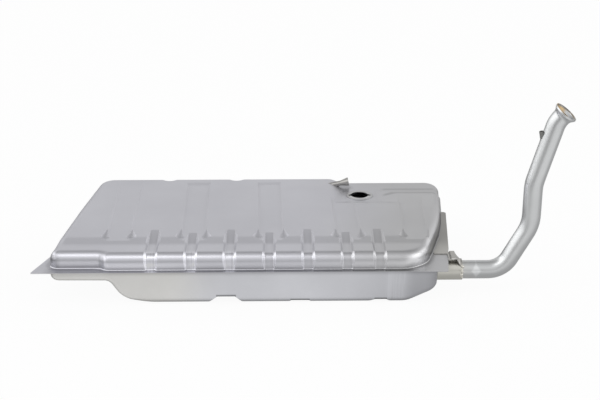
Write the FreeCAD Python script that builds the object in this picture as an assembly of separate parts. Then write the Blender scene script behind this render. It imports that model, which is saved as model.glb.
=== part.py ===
import FreeCAD, Part
import math
import os
from FreeCAD import Vector

# Steel fuel tank for a car: two drawn half shells with a seam-welded rim, a bent filler
# neck at the right-hand front corner, and baffles and a surge pot welded inside.
# Millimetres. The origin is on the flat belly floor, +X runs towards the filler neck,
# +Y towards the edge with the sender opening, +Z up.

# Sheet and seam
SHEET = 1.0                 # steel sheet of both shells
SEAM_Z = 90.0               # height of the joint between the two rims above the belly floor
RIM_WIDTH = 12.0            # rim outside the wall of the shells

# Plan of the body at the seam
FRONT_Y = -250.0            # front wall
BACK_Y = 251.0              # rear wall
LEFT_X = -521.0             # left wall at its front end
LEFT_RAKE = 7.5             # degrees that the left wall leans from the Y axis
RIGHT_FRONT_X = 374.0       # right wall where it would meet the front wall
RIGHT_BEND_X = 437.0        # right wall at its bend
RIGHT_BEND_Y = -25.0
RIGHT_BACK_X = 465.0        # right wall where it would meet the rear wall
JOG_X = -395.0              # the front wall steps back to the left of this point
JOG_DEPTH = 12.0
JOG_RUN = 13.5
CORNER_FRONT_LEFT = 24.0
CORNER_JOG = 23.0
CORNER_FRONT_RIGHT = 80.0
CORNER_RIGHT_BEND = 900.0
CORNER_BACK_RIGHT = 42.0
CORNER_BACK_LEFT = 46.0

# Upper shell
SHELF_RISE = 40.3           # front edge of the deck above the seam
LAND_RISE = 53.0            # flat part of the deck above the seam
CROWN_Y = 30.0              # the deck falls gently towards the front from here
CROWN_FALL = 7.0
CROWN_RADIUS = 500.0
APRON_FRONT_Y = -188.0      # and more steeply between these two lines
APRON_BACK_Y = -152.0
APRON_RADIUS = 80.0
UPPER_DRAFT = 4.0           # degrees
ROOT_RADIUS = 3.0           # between the wall and the rim
EDGE_RADIUS = 22.0          # pressed edge between the deck and the walls

# Flutes pressed into the front wall, running out over the deck
FLUTE_X = (-274.6, -181.0, -88.7, 5.0, 97.5, 190.4, 267.5)
FLUTE_DEPTH = 8.0           # at the pressed edge
FLUTE_FOOT_DEPTH = 1.5      # at the seam
FLUTE_DECK_DEPTH = 4.5      # under the front edge of the deck
FLUTE_FLOOR = 20.0
FLUTE_FLANK = 40.0          # degrees
FLUTE_EDGE = 18.0           # radius of the flute's floor round the pressed edge
FLUTE_BEND_Y = -176.0       # the flute's floor rises from here
FLUTE_BEND = 60.0
FLUTE_END_Y = -112.0        # and meets the deck here
BACK_FLUTE_X = (-268.0, -87.0)
BACK_FLUTE_DEPTH = 14.5
BACK_FLUTE_RADIUS = 30.0

# Long shallow channels in the deck, each with a small dimple at both front corners
CHANNEL_X = (-363.5, -182.5, 6.0, 195.0, 365.5)
CHANNEL_BACK_Y = (232.0, 208.0, 208.0, 94.0, 94.0)
CHANNEL_RAMP = (100.0, 16.0, 16.0, 26.0, 50.0)
CHANNEL_SKEW = (1.3, 1.3, 1.3, 1.3, -1.3)   # degrees from the Y axis
CHANNEL_WIDTH = 62.0
CHANNEL_DEPTH = 2.0
CHANNEL_SLOPE = 24.0        # degrees of the side walls
CHANNEL_FRONT_Y = -170.0
DIMPLE_LENGTH = 44.0
DIMPLE_SPREAD = 24.0        # degrees between a dimple's axis and its side
DIMPLE_LIFT = 14.5           # degrees that its axis rises towards the front
DIMPLE_BACK_Y = -108.0
BUTTON_PLACES = ((95.0, -76.0), (277.0, -80.0))
BUTTON_RADIUS = 30.0
BUTTON_HEIGHT = 2.0

# Recess at the rear right-hand corner: a shelf, and a deeper bay round the sender opening
RECESS_DROP = 12.5
RECESS_LEFT_X = 168.0       # top of the sloping left flank
RECESS_FLANK = 32.0         # width of that flank
SHELF_LIP_Y = 118.0
SHELF_SLOPE = 62.0
BAY_LIP_Y = 50.0
BAY_SLOPE = 40.0
BAY_RIGHT_X = 288.0
BAY_RIGHT_SLOPE = 52.0
RECESS_RADIUS = 34.0
RECESS_BROW = 40.0          # rounding at the lips of the recess

# Sender opening
SENDER_X = 240.5
SENDER_Y = 136.0
SENDER_BORE = 22.5          # radius
SENDER_NOTCH = 30.0         # reach of the two pointed bayonet notches
SENDER_NOTCH_WIDTH = 16.0
SENDER_RING = 34.0          # outer radius of the ring
SENDER_RING_SHEET = 1.6
SENDER_LIP = 2.2            # raised lip round the bore
SENDER_HOLE = 31.0          # hole in the shell under the ring

# Lower shell
LOWER_DRAFT = 4.0
LOWER_SETBACK = 2.0         # lower walls stand this far inside the upper ones
LOWER_RIGHT_X = 408.0       # squarer front right-hand corner of the lower shell
LOWER_CORNER = 34.0
BELLY_RADIUS = 16.0
SHALLOW_RISE = 62.0         # floor of the shallow left-hand end
SHALLOW_FALL = 3.0
STEP_TOP_X = -376.0         # the steep step from the shallow end to the belly
STEP_FOOT_X = -345.0
STEP_FOOT_Z = 11.0
TOE_X = -283.0              # the toe of the step ends on the flat floor
CHAMFER_X = 334.0           # the right-hand end rises from here
CHAMFER_SLOPE = 26.0        # degrees
STEP_BROW_RADIUS = 20.0
STEP_FOOT_RADIUS = 58.0
TOE_RADIUS = 220.0
CHAMFER_RADIUS = 60.0

# Grooves across the belly floor: left foot, left top, right top, right foot, depth, length
STRAP_GROOVE = (-143.0, -120.0, -77.0, -57.0, 19.0)
SHORT_GROOVES = ((50.0, 57.0, 99.0, 107.0, 7.0), (238.0, 258.0, 284.0, 297.0, 9.0))
SHORT_GROOVE_END_Y = -120.0

# Rim corners
EAR_TIP_X = -556.0          # pointed left-hand front corner of the rim
EAR_ROOT_Y = -150.0
PANEL_X = 427.5             # right-hand front corner of the rim
PANEL_BACK_X = 442.5        # the rim widens to a rail from here
PANEL_BACK_Y = -136.0
RAIL_WIDTH = 16.6           # rail outside the right wall at its rear end
RAIL_BACK_Y = 112.0
RIM_NARROW = 5.0            # rim width on the rear part of the right-hand side

# Filler neck, in a plane square to Y until its last bend
NECK_Y = -180.0
NECK_Z = 58.0
NECK_OD = 44.5
NECK_WALL = 1.2
NECK_END_X = 352.0          # open end inside the tank
NECK_KNEE_X = 568.5
NECK_RISER_X = 631.5
NECK_SHOULDER_Z = 175.0
NECK_LEAN_Z = 277.0
NECK_TOP_X = 675.0
NECK_TOP_Z = 431.0
NECK_REACH = 32.5           # from the last corner to the mouth
NECK_MOUTH_RISE = 53.0      # degrees of the mouth's axis above level
NECK_MOUTH_TURN = 9.0       # degrees of the mouth's axis towards the front
NECK_BENDS = (58.0, 97.0, 110.0)
NECK_MOUTH_STRAIGHT = 2.5   # between the last bend and the flare
MOUTH_OD = 58.0
MOUTH_FLARE = 18.0
MOUTH_LIP = 4.0

# Spud on the lower shell that takes the neck
SPUD_OD = 50.0
SPUD_END_X = 471.0
SOLDER_GAP = 0.15

# Cap sleeve inside the mouth
SLEEVE_WALL = 1.2
SLEEVE_LENGTH = 10.0
SLEEVE_BORE = 33.0
SLEEVE_NOTCH = 11.0

# Vent nipples
TANK_NIPPLE_OD = 13.0
TANK_NIPPLE_BORE = 9.0
TANK_NIPPLE_FLARE = 22.0
TANK_NIPPLE_LENGTH = 39.0
TANK_NIPPLE_Y = 198.0
TANK_NIPPLE_TILT = 12.0
TANK_NIPPLE_INSIDE = 30.0
NECK_NIPPLE_OD = 10.5
NECK_NIPPLE_BORE = 7.0
NECK_NIPPLE_LENGTH = 34.0
NECK_NIPPLE_Z = 372.0
NECK_NIPPLE_SPREAD = 27.0   # degrees from the neck's own direction

# Bracket from the rim to the neck
BRACKET_SHEET = 2.0
BRACKET_FRONT_Y = -164.0    # front edge of the strip on the rim
BRACKET_BACK_Y = 110.0
BRACKET_LEG_X = 404.0       # the strip runs in to the wall of the shell
BRACKET_TONGUE_X = 436.5    # the root of the arm starts here
BRACKET_ARM_FRONT = 20.0    # the arm reaches this far in front of the neck's axis
BRACKET_ARM_BACK = 23.0
BRACKET_BEND_X = 440.0      # the arm leaves the strip here
BRACKET_STEP_X = 443.0      # stands this high above the strip from here
BRACKET_STEP = 4.0
BRACKET_ARM_X = 454.0       # bends down here
BRACKET_SADDLE_X = 466.0    # and lies on the spud from here
BRACKET_SADDLE_END_X = 470.0

# Baffles and surge pot inside
BAFFLE_SHEET = 1.0
BAFFLE_X = (-215.0, 22.0, 150.0)
BAFFLE_NAMES = ("baffle_left", "baffle_centre", "baffle_right")
BAFFLE_FOOT = 14.0
BAFFLE_FOOT_HALF = 205.0
BAFFLE_HEIGHT = (122.0, 122.0, 116.0)
BAFFLE_SHOULDER = 40.0
BAFFLE_HOLE = 24.0
POT_RADIUS = 55.0
POT_HEIGHT = 62.0
POT_SHEET = 1.0
POT_PORT = 9.0

X_AXIS = Vector(1, 0, 0)
Z_AXIS = Vector(0, 0, 1)
FAR = 1200.0


def offset_polygon(points, distance):
    """Move every side of an anticlockwise polygon inwards by a distance."""
    moved = []
    count = len(points)
    for i in range(count):
        before = points[i] - points[i - 1]
        after = points[(i + 1) % count] - points[i]
        before.normalize()
        after.normalize()
        normal_a = Vector(-before.y, before.x, 0)
        normal_b = Vector(-after.y, after.x, 0)
        half = normal_a + normal_b
        moved.append(points[i] + half * (2 * distance / half.dot(half)))
    return moved


def rounded_wire(points, radii, closed=True):
    """A wire through the points with each corner rounded by a tangent arc."""
    count = len(points)
    starts = []
    ends = []
    edges = []
    for i in range(count):
        if radii[i] <= 0 or (not closed and i in (0, count - 1)):
            starts.append(points[i])
            ends.append(points[i])
            continue
        back = (points[i - 1] - points[i]).normalize()
        ahead = (points[(i + 1) % count] - points[i]).normalize()
        half = math.acos(max(-1.0, min(1.0, back.dot(ahead)))) / 2
        reach = radii[i] / math.tan(half)
        middle = (back + ahead).normalize()
        mid = points[i] + middle * (radii[i] / math.sin(half) - radii[i])
        starts.append(points[i] + back * reach)
        ends.append(points[i] + ahead * reach)
        edges.append((i, Part.Arc(starts[i], mid, ends[i]).toShape()))
    arcs = dict(edges)
    chain = []
    for i in range(count):
        if i in arcs:
            chain.append(arcs[i])
        following = (i + 1) % count
        if i == count - 1 and not closed:
            continue
        if (starts[following] - ends[i]).Length > 1e-6:
            chain.append(Part.LineSegment(ends[i], starts[following]).toShape())
    return Part.Wire(chain)


def turn_signs(points):
    """+1 at the convex corners of an anticlockwise polygon and -1 at the others."""
    signs = []
    for i in range(len(points)):
        before = points[i] - points[i - 1]
        after = points[(i + 1) % len(points)] - points[i]
        signs.append(1 if before.cross(after).z > 0 else -1)
    return signs


def body_outline(inset, z, upper=True):
    """Plan of one shell's wall at height z, moved inwards by inset."""
    rake = math.tan(math.radians(LEFT_RAKE))
    left_back = LEFT_X + (BACK_Y - FRONT_Y) * rake
    right_side = [
        (Vector(RIGHT_BEND_X, RIGHT_BEND_Y, 0), CORNER_RIGHT_BEND),
        (Vector(RIGHT_BACK_X, BACK_Y, 0), CORNER_BACK_RIGHT),
        (Vector(left_back, BACK_Y, 0), CORNER_BACK_LEFT),
    ]
    if upper:
        front = [
            (Vector(LEFT_X + JOG_DEPTH * rake, FRONT_Y + JOG_DEPTH, 0), CORNER_FRONT_LEFT),
            (Vector(JOG_X, FRONT_Y + JOG_DEPTH, 0), CORNER_JOG),
            (Vector(JOG_X + JOG_RUN, FRONT_Y, 0), CORNER_JOG),
            (Vector(RIGHT_FRONT_X, FRONT_Y, 0), CORNER_FRONT_RIGHT),
        ]
    else:
        front = [
            (Vector(LEFT_X, FRONT_Y, 0), CORNER_FRONT_LEFT),
            (Vector(LOWER_RIGHT_X, FRONT_Y, 0), LOWER_CORNER),
        ]
    corners = front + right_side
    points = [corner[0] for corner in corners]
    signs = turn_signs(points)
    radii = []
    for corner, sign in zip(corners, signs):
        radii.append(corner[1] - sign * inset if inset else corner[1])
    moved = offset_polygon(points, inset)
    return rounded_wire([Vector(p.x, p.y, z) for p in moved], radii)


def drafted_block(inset, z_foot, z_end, draft, upper=True):
    """A block on the body outline whose walls lean inwards away from z_foot."""
    lean = abs(z_end - z_foot) * math.tan(math.radians(draft))
    foot = body_outline(inset, z_foot, upper)
    end = body_outline(inset + lean, z_end, upper)
    return Part.makeLoft([foot, end], True, True)


def extruded(wire, direction):
    return Part.Face(wire).extrude(direction)


def profile_yz(points, radii, x_from, x_to):
    """Prism along X on a rounded outline given as (y, z) points."""
    wire = rounded_wire([Vector(x_from, y, z) for y, z in points], radii)
    return extruded(wire, Vector(x_to - x_from, 0, 0))


def profile_xz(points, radii, y_from, y_to):
    """Prism along Y on a rounded outline given as (x, z) points."""
    wire = rounded_wire([Vector(x, y_from, z) for x, z in points], radii)
    return extruded(wire, Vector(0, y_to - y_from, 0))


def edges_between(shape, deck_limit, wall_limit):
    """Edges away from the seam where a flat-lying face meets a wall."""
    owners = {}
    for face in shape.Faces:
        for edge in face.Edges:
            owners.setdefault(edge.hashCode(), []).append((edge, face))
    picked = []
    for group in owners.values():
        if len(group) != 2:
            continue
        edge = group[0][0]
        middle = edge.valueAt((edge.FirstParameter + edge.LastParameter) / 2)
        if abs(middle.z - SEAM_Z) < SHEET:
            continue
        steepness = []
        for _, face in group:
            u, v = face.Surface.parameter(middle)
            steepness.append(abs(face.normalAt(u, v).z))
        if max(steepness) > deck_limit and min(steepness) < wall_limit:
            picked.append(edge)
    return picked


def drop_outline(lip, slope, land, floor, far):
    """Outline over a step down: tangent to the land at its lip and rounded into the floor."""
    angle = math.atan2(land - floor, slope)
    brow = lip - RECESS_BROW * math.tan(angle / 2)
    top = land + 40.0
    points = [(brow, top), (brow, land), (lip, land), (lip + slope, floor), (far, floor), (far, top)]
    return points, [0, 0, RECESS_BROW, RECESS_RADIUS, 0, 0]


def recess_cutter(inset):
    """Everything above the recess: the shelf and the bay with their gentle slopes."""
    land = SEAM_Z + LAND_RISE - inset
    floor = land - RECESS_DROP
    flank_points, radii = drop_outline(RECESS_LEFT_X, RECESS_FLANK, land, floor, FAR)
    flank = profile_xz(flank_points, radii, -FAR, FAR)
    shelf_points, radii = drop_outline(SHELF_LIP_Y, SHELF_SLOPE, land, floor, FAR)
    shelf = profile_yz(shelf_points, radii, 0.0, FAR)
    front_points, radii = drop_outline(BAY_LIP_Y, BAY_SLOPE, land, floor, FAR)
    bay_front = profile_yz(front_points, radii, 0.0, FAR)
    right_lip = BAY_RIGHT_X + BAY_RIGHT_SLOPE
    right_points, radii = drop_outline_left(right_lip, BAY_RIGHT_SLOPE, land, floor)
    bay_right = profile_xz(right_points, radii, -FAR, FAR)
    bay = bay_front.common(bay_right)
    return flank.common(shelf.fuse(bay))


def drop_outline_left(lip, slope, land, floor):
    """The same step, falling towards the left."""
    points, radii = drop_outline(-lip, slope, land, floor, FAR)
    return [(-x, z) for x, z in points], radii


def deck_height(y):
    """Height of the deck's outside between the apron and its flat rear part."""
    share = max(0.0, (CROWN_Y - y) / (CROWN_Y - APRON_BACK_Y))
    return SEAM_Z + LAND_RISE - CROWN_FALL * share


def upper_block(inset):
    """The upper half of the body before its flutes and channels."""
    shelf = SEAM_Z + SHELF_RISE - inset
    land = SEAM_Z + LAND_RISE - inset
    block = drafted_block(inset, SEAM_Z, land + 20.0, UPPER_DRAFT)
    deck = profile_yz(
        [(-FAR, SEAM_Z), (FAR, SEAM_Z), (FAR, land), (CROWN_Y, land), (APRON_BACK_Y, land - CROWN_FALL),
         (APRON_FRONT_Y, shelf), (-FAR, shelf)],
        [0, 0, 0, CROWN_RADIUS, APRON_RADIUS, APRON_RADIUS, 0], -FAR, FAR)
    block = block.common(deck).cut(recess_cutter(inset))
    edges = edges_between(block, 0.9, 0.3)
    return block.makeFillet(EDGE_RADIUS - inset, edges)


def flute_section(inset, origin, along):
    """Section of a flute's tool, square to its path: a flat floor and S-shaped flanks."""
    flank = math.radians(FLUTE_FLANK)
    exit_angle = math.radians(9.0)
    radius = 5.0
    up = X_AXIS.cross(along).normalize()
    half_floor = FLUTE_FLOOR / 2 + inset
    rise = FLUTE_DEPTH + 0.6
    run = rise / math.tan(flank)
    far_out = 26.0
    side = [
        (half_floor, 0.0, radius),
        (half_floor + run, rise, radius),
        (half_floor + run + far_out, rise + far_out * math.tan(exit_angle), 0),
        (half_floor + run + far_out, rise + 24.0, 0),
    ]
    points = [Vector(origin) + X_AXIS * u + up * v for u, v, _ in side]
    radii = [r for _, _, r in side]
    points += [Vector(origin) - X_AXIS * u + up * v for u, v, _ in reversed(side)]
    radii += [r for _, _, r in reversed(side)]
    return rounded_wire(points, radii)


def flute_cutter(x, inset):
    """Tool swept up the wall, round the pressed edge and back along the deck."""
    lean = math.tan(math.radians(UPPER_DRAFT))
    floor = SEAM_Z + SHELF_RISE - FLUTE_DECK_DEPTH - inset
    root = Vector(x, FRONT_Y + FLUTE_FOOT_DEPTH + inset, SEAM_Z)
    corner = Vector(x, FRONT_Y + FLUTE_DEPTH + inset + SHELF_RISE * lean, floor)
    foot = root + (root - corner) * 0.5
    bend = Vector(x, FLUTE_BEND_Y, floor)
    rise = Vector(x, FLUTE_END_Y, deck_height(FLUTE_END_Y) - inset) - bend
    path = rounded_wire([foot, corner, bend, bend + rise * 1.4], [0, FLUTE_EDGE, FLUTE_BEND, 0], closed=False)
    section = flute_section(inset, foot, (corner - foot).normalize())
    return path.makePipeShell([section], True, False)


def back_flute_cutter(x, inset):
    """Round-bottomed flute across the rear pressed edge."""
    axis_point = Vector(x, BACK_Y - inset + BACK_FLUTE_RADIUS, SEAM_Z + LAND_RISE - inset)
    depth = EDGE_RADIUS * (1 - math.sqrt(0.5)) + BACK_FLUTE_DEPTH
    direction = Vector(0, -1, 1).normalize()
    outward = Vector(0, 1, 1).normalize()
    corner = Vector(x, BACK_Y - inset, SEAM_Z + LAND_RISE - inset)
    centre = corner + outward * (BACK_FLUTE_RADIUS - depth)
    length = 120.0
    return Part.makeCylinder(BACK_FLUTE_RADIUS + inset, length, centre - direction * (length / 2),
                             direction)


def channel_cutter(x, back_y, end_ramp, skew, inset):
    """Shallow trapezoid channel that follows the deck and rises to it at the rear end."""
    land = SEAM_Z + LAND_RISE - inset
    front_y = CHANNEL_FRONT_Y - 40.0
    ahead = Vector(0, front_y, deck_height(front_y) - inset)
    behind = Vector(0, back_y + end_ramp, land)
    slope = math.tan(math.radians(CHANNEL_SLOPE))
    over = 6.0
    half_floor = CHANNEL_WIDTH / 2 - CHANNEL_DEPTH / slope + inset
    half_top = half_floor + (CHANNEL_DEPTH + over) / slope
    outline = [(-half_floor, -CHANNEL_DEPTH), (half_floor, -CHANNEL_DEPTH), (half_top, over), (-half_top, over)]
    section = rounded_wire([behind + Vector(u, 0, v) for u, v in outline], [3.0, 3.0, 0, 0])
    path = rounded_wire([behind, Vector(0, CROWN_Y, land), ahead], [0, CROWN_RADIUS, 0], closed=False)
    channel = path.makePipeShell([section], True, False)
    ramp_top = land + over
    ramp = profile_yz(
        [(front_y - 20.0, SEAM_Z), (back_y - end_ramp, SEAM_Z), (back_y - end_ramp, land - CHANNEL_DEPTH),
         (back_y + end_ramp, land + CHANNEL_DEPTH), (back_y + end_ramp, ramp_top), (front_y - 20.0, ramp_top)],
        [0, 0, 0, 0, 0, 0], -FAR, FAR)
    cutter = channel.common(ramp)
    cutter.rotate(Vector(0, 0, 0), Z_AXIS, skew)
    cutter.translate(Vector(x, 0, 0))
    return cutter


def dimple_cutter(x, inset):
    """Pointed tool that leaves a three-cornered dent at a channel's front corner."""
    spread = math.radians(DIMPLE_SPREAD)
    ball = DIMPLE_LENGTH * math.sin(spread) + inset
    touch = Vector(ball * math.cos(spread), 0, DIMPLE_LENGTH - ball * math.sin(spread))
    tip = Vector(0, 0, DIMPLE_LENGTH - ball / math.sin(spread))
    side = math.radians(45.0)
    arc = Part.Arc(touch, Vector(ball * math.sin(side), 0, DIMPLE_LENGTH + ball * math.cos(side)),
                   Vector(0, 0, DIMPLE_LENGTH + ball)).toShape()
    flank = Part.LineSegment(tip, touch).toShape()
    axis = Part.LineSegment(Vector(0, 0, DIMPLE_LENGTH + ball), tip).toShape()
    tool = Part.Face(Part.Wire([flank, arc, axis])).revolve(Vector(0, 0, 0), Z_AXIS, 360)
    lift = math.radians(DIMPLE_LIFT)
    apex = Vector(x, DIMPLE_BACK_Y, deck_height(DIMPLE_BACK_Y) - 0.3)
    aim = Vector(0, -math.cos(lift), math.sin(lift))
    tool.Placement = FreeCAD.Placement(apex, FreeCAD.Rotation(Z_AXIS, aim))
    return tool


def button(x, y, inset):
    """Low round swelling in the floor of a channel."""
    top = deck_height(y) - CHANNEL_DEPTH + BUTTON_HEIGHT
    return Part.makeSphere(BUTTON_RADIUS - inset, Vector(x, y, top - BUTTON_RADIUS))


def upper_form(inset):
    """The upper half of the body as a solid, inset from its outer surface."""
    form = upper_block(inset)
    tools = [flute_cutter(x, inset) for x in FLUTE_X]
    tools += [back_flute_cutter(x, inset) for x in BACK_FLUTE_X]
    for x, back_y, end_ramp, skew in zip(CHANNEL_X, CHANNEL_BACK_Y, CHANNEL_RAMP, CHANNEL_SKEW):
        tools.append(channel_cutter(x, back_y, end_ramp, skew, inset))
    form = form.cut(tools)
    form = form.cut(dimple_tools(inset))
    return form.fuse([button(x, y, inset) for x, y in BUTTON_PLACES])


def dimple_tools(inset):
    tools = []
    for x, skew in zip(CHANNEL_X, CHANNEL_SKEW):
        for side in (-1, 1):
            middle = x - math.tan(math.radians(skew)) * DIMPLE_BACK_Y + side * CHANNEL_WIDTH / 2
            tools.append(dimple_cutter(middle, inset))
    return tools


def rail_back_x():
    """Outer edge of the rail at its rear end, a fixed width outside the right wall."""
    side = (RIGHT_BACK_X - RIGHT_BEND_X) / (BACK_Y - RIGHT_BEND_Y)
    return RIGHT_BEND_X + side * (RAIL_BACK_Y - RIGHT_BEND_Y) + RAIL_WIDTH


def rim_plate(z, thickness):
    """Flat rim of one shell with the pointed ear, the square panel and the rail."""
    rake = math.tan(math.radians(LEFT_RAKE))
    left_back = LEFT_X + (BACK_Y - FRONT_Y) * rake
    front = FRONT_Y - RIM_WIDTH
    back = BACK_Y + RIM_WIDTH
    side = (RIGHT_BACK_X - RIGHT_BEND_X) / (BACK_Y - RIGHT_BEND_Y)
    narrow_x = RIGHT_BACK_X + RIM_NARROW + side * (RAIL_BACK_Y - BACK_Y)
    rail_x = rail_back_x()
    corners = [
        (Vector(EAR_TIP_X, front, z), 3.0),
        (Vector(PANEL_X, front, z), 4.0),
        (Vector(PANEL_BACK_X, PANEL_BACK_Y, z), 60.0),
        (Vector(rail_x, RAIL_BACK_Y, z), 3.0),
        (Vector(narrow_x, RAIL_BACK_Y, z), 2.0),
        (Vector(RIGHT_BACK_X + RIM_NARROW, back, z), CORNER_BACK_RIGHT + RIM_NARROW),
        (Vector(left_back - RIM_WIDTH, back, z), CORNER_BACK_LEFT + RIM_WIDTH),
        (Vector(LEFT_X + (EAR_ROOT_Y - FRONT_Y) * rake - RIM_WIDTH, EAR_ROOT_Y, z), 80.0),
    ]
    wire = rounded_wire([c[0] for c in corners], [c[1] for c in corners])
    return extruded(wire, Vector(0, 0, thickness))


def lower_form(inset):
    """The lower half of the body: a shallow left-hand end and the deep belly."""
    block = drafted_block(LOWER_SETBACK + inset, SEAM_Z, -10.0, LOWER_DRAFT, upper=False)
    floor = inset
    rise = math.tan(math.radians(CHAMFER_SLOPE))
    shallow = SHALLOW_RISE + inset
    bottom = profile_xz(
        [(-FAR, shallow + SHALLOW_FALL), (STEP_TOP_X, shallow - SHALLOW_FALL),
         (STEP_FOOT_X, STEP_FOOT_Z + inset), (TOE_X, floor), (CHAMFER_X, floor),
         (CHAMFER_X + FAR / 2, floor + rise * FAR / 2), (CHAMFER_X + FAR / 2, SEAM_Z), (-FAR, SEAM_Z)],
        [0, STEP_BROW_RADIUS + inset, STEP_FOOT_RADIUS - inset, TOE_RADIUS - inset,
         CHAMFER_RADIUS - inset, 0, 0, 0],
        -FAR, FAR)
    block = block.common(bottom)
    edges = edges_between(block, 0.35, 0.3)
    block = block.makeFillet(BELLY_RADIUS - inset, edges)
    return block.cut(groove_tools(inset))


def groove_tools(inset):
    """Tools for the strap groove and the two short grooves in the belly floor."""
    tools = []
    for groove in (STRAP_GROOVE,) + SHORT_GROOVES:
        left_foot, left_top, right_top, right_foot, depth = groove
        end_y = FAR if groove is STRAP_GROOVE else SHORT_GROOVE_END_Y
        left_run = (left_top - left_foot) / depth
        right_run = (right_foot - right_top) / depth
        below = 8.0
        tool = profile_xz(
            [(left_foot - left_run * below - inset, -below), (left_top - inset, depth + inset),
             (right_top + inset, depth + inset), (right_foot + right_run * below + inset, -below)],
            [0, 5.0, 5.0, 0], -FAR, end_y)
        tools.append(tool)
    return tools


def root_edges(solid, z):
    """Edges at height z where the wall stands on the rim."""
    owners = {}
    for face in solid.Faces:
        for edge in face.Edges:
            owners.setdefault(edge.hashCode(), []).append((edge, face))
    picked = []
    for group in owners.values():
        box = group[0][0].BoundBox
        tallest = max(face.BoundBox.ZMax for _, face in group)
        if abs(box.ZMin - z) < 0.01 and abs(box.ZMax - z) < 0.01 and tallest > z + SHEET:
            picked.append(group[0][0])
    return picked


def make_upper_shell():
    outer = upper_form(0.0)
    inner = upper_form(SHEET)
    below = Part.makeBox(2 * FAR, 2 * FAR, 40.0, Vector(-FAR, -FAR, SEAM_Z - 40.0))
    rim = rim_plate(SEAM_Z, SHEET)
    solid = outer.cut(below).fuse(rim)
    solid = solid.makeFillet(ROOT_RADIUS, root_edges(solid, SEAM_Z + SHEET))
    shell = solid.cut([inner, below])
    recess_floor = SEAM_Z + LAND_RISE - RECESS_DROP
    hole = Part.makeCylinder(SENDER_HOLE, 20.0, Vector(SENDER_X, SENDER_Y, recess_floor - 10.0))
    return shell.cut([hole, nipple_envelope()])


def make_lower_shell():
    outer = lower_form(0.0)
    inner = lower_form(SHEET)
    rim = rim_plate(SEAM_Z - SHEET, SHEET)
    shell = outer.fuse(rim).cut(inner)
    above = Part.makeBox(2 * FAR, 2 * FAR, 40.0, Vector(-FAR, -FAR, SEAM_Z))
    shell = shell.cut(above)
    hole = Part.makeCylinder(NECK_OD / 2 + SOLDER_GAP, 200.0, Vector(NECK_END_X, NECK_Y, NECK_Z), X_AXIS)
    return shell.cut(hole)


def make_sender_ring():
    """Ring with a raised lip and two bayonet notches, welded on the recess floor."""
    floor = SEAM_Z + LAND_RISE - RECESS_DROP
    centre = Vector(SENDER_X, SENDER_Y, floor)
    ring = Part.makeCylinder(SENDER_RING, SENDER_RING_SHEET, centre)
    lip = Part.makeCone(SENDER_BORE + 4.0, SENDER_BORE + 2.4, SENDER_LIP, centre)
    ring = ring.fuse(lip)
    ring = ring.cut(Part.makeCylinder(SENDER_BORE, 20.0, centre - Z_AXIS * 5))
    half = SENDER_NOTCH_WIDTH / 2
    tip = SENDER_NOTCH
    corners = [Vector(0, -half, 0), Vector(SENDER_BORE * 0.9, -half, 0), Vector(tip, -1.5, 0),
               Vector(tip, 1.5, 0), Vector(SENDER_BORE * 0.9, half, 0), Vector(0, half, 0)]
    for turn in (0.0, 180.0):
        wire = rounded_wire([centre - Z_AXIS * 5 + corner for corner in corners], [0, 0, 1.4, 1.4, 0, 0])
        notch = extruded(wire, Z_AXIS * 20.0)
        notch.rotate(centre, Z_AXIS, turn)
        ring = ring.cut(notch)
    return ring


def neck_frame():
    """Corners of the neck's centre line and the direction of its mouth."""
    rise = math.radians(NECK_MOUTH_RISE)
    turn = math.radians(NECK_MOUTH_TURN)
    aim = Vector(math.cos(rise) * math.cos(turn), -math.sin(turn), math.sin(rise) * math.cos(turn))
    corners = [
        Vector(NECK_END_X, NECK_Y, NECK_Z),
        Vector(NECK_KNEE_X, NECK_Y, NECK_Z),
        Vector(NECK_RISER_X, NECK_Y, NECK_SHOULDER_Z),
        Vector(NECK_RISER_X, NECK_Y, NECK_LEAN_Z),
        Vector(NECK_TOP_X, NECK_Y, NECK_TOP_Z),
    ]
    mouth = corners[-1] + aim * NECK_REACH
    return corners + [mouth], aim, mouth


def pipe_solid(path, radius, start, direction):
    circle = Part.Wire(Part.makeCircle(radius, start, direction))
    return path.makePipeShell([circle], True, False)


def mouth_revolve(bore, aim, mouth):
    """Flared end of the neck, as a revolved solid."""
    tube = NECK_OD / 2 - (NECK_WALL if bore else 0)
    rim = MOUTH_OD / 2 - (NECK_WALL if bore else 0)
    over = 1.0 if bore else 0.0
    back = MOUTH_FLARE
    wire = rounded_wire(
        [Vector(0, 0, -back), Vector(tube, 0, -back), Vector(tube, 0, -MOUTH_FLARE * 0.72),
         Vector(rim, 0, -MOUTH_LIP), Vector(rim, 0, over), Vector(0, 0, over)],
        [0, 0, 14.0, 4.0, 0, 0])
    solid = Part.Face(wire).revolve(Vector(0, 0, 0), Z_AXIS, 360)
    solid.Placement = FreeCAD.Placement(mouth, FreeCAD.Rotation(Z_AXIS, aim))
    return solid


def neck_nipple_axis():
    """Where the neck's vent nipple starts and the way it points."""
    lean = Vector(NECK_TOP_X - NECK_RISER_X, 0, NECK_TOP_Z - NECK_LEAN_Z).normalize()
    share = (NECK_NIPPLE_Z - NECK_LEAN_Z) / (NECK_TOP_Z - NECK_LEAN_Z)
    base = Vector(NECK_RISER_X + (NECK_TOP_X - NECK_RISER_X) * share, NECK_Y, NECK_NIPPLE_Z)
    side = Vector(-lean.z, 0, lean.x)
    angle = math.radians(NECK_NIPPLE_SPREAD)
    direction = lean * math.cos(angle) + side * math.sin(angle)
    start = base + side * (NECK_OD / 2 - NECK_NIPPLE_OD)
    return start, direction


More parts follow.
